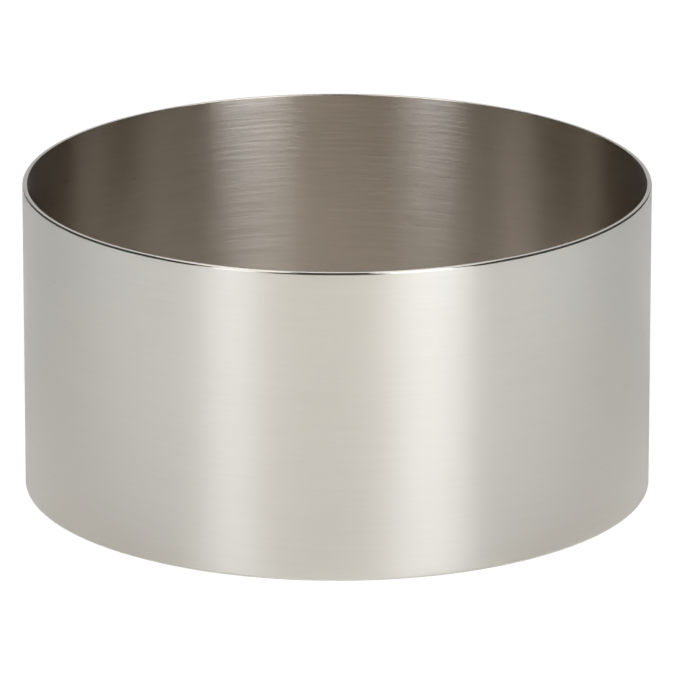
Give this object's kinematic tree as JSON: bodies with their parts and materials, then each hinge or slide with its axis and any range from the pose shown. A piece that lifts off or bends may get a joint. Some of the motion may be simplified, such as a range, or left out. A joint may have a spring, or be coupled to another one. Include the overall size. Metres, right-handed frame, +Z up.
{
  "type": "food ring",
  "caption": "Plain round stainless steel food ring with a thin straight wall, open at the top and the bottom, for shaping and stacking food portions.",
  "frame": {"origin": "centre of the circle that the bottom rim stands on", "axes": "+Z up along the ring's axis, -Y to the front, +X through the weld"},
  "size_m": [0.08, 0.08, 0.04],
  "materials": {
    "band_steel": "satin, brushed round the ring",
    "weld_steel": "weld dressed flush and brushed"
  },
  "bodies": {
    "root": {"rolled_band": "band_steel", "butt_weld": "weld_steel"}
  },
  "joints": []
}
